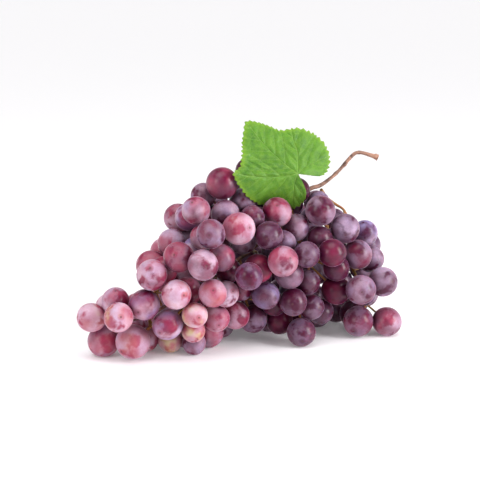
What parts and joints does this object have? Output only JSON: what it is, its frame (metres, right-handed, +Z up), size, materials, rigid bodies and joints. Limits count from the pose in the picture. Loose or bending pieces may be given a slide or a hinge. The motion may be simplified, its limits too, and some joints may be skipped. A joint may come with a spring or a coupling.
{
  "type": "bunch of grapes",
  "caption": "Bunch of red table grapes lying on its side, with its bent main stem, bloomed round berries on branching stalks and a toothed vine leaf over the shoulder.",
  "frame": {"origin": "on the table under the middle of the whole bunch with its leaf and stem", "axes": "+Z up from the table, +X along the bunch from its thin end towards the cut end of its main stem, -Y towards the side that the picture shows"},
  "size_m": [0.2168, 0.1303, 0.1502],
  "materials": {
    "berry_rosy": "rosy red skin under a thin lilac bloom, rubbed through in patches, soft sheen",
    "berry_mauve": "mauve red skin under a lilac bloom, rubbed through in patches, soft sheen",
    "berry_dark": "dark purple skin under a grey lilac bloom, rubbed through in patches, soft sheen",
    "stem": "woody green brown stalk with a matte, finely grooved bark, paler at the cut",
    "leaf": "fresh green blade with pale veins, satin above and matte below"
  },
  "bodies": {
    "root": {"main_stem": "stem", "spray_tip": "berry_rosy", "spray_tip_low": "berry_rosy", "spray_tip_left": "berry_rosy", "spray_back_tip": "berry_rosy", "spray_left": "berry_rosy", "spray_front_low": "berry_rosy", "spray_back_low": "berry_rosy", "spray_front": "berry_mauve", "spray_left_top": "berry_mauve", "spray_middle": "berry_mauve", "spray_middle_top": "berry_mauve", "spray_back_left": "berry_mauve", "spray_crown": "berry_mauve", "spray_top": "berry_dark", "spray_right_middle": "berry_dark", "spray_right_low": "berry_dark", "spray_wing": "berry_dark", "spray_shoulder": "berry_dark", "spray_back_right": "berry_dark", "spray_back_middle": "berry_dark", "leaf": "leaf"}
  },
  "joints": []
}
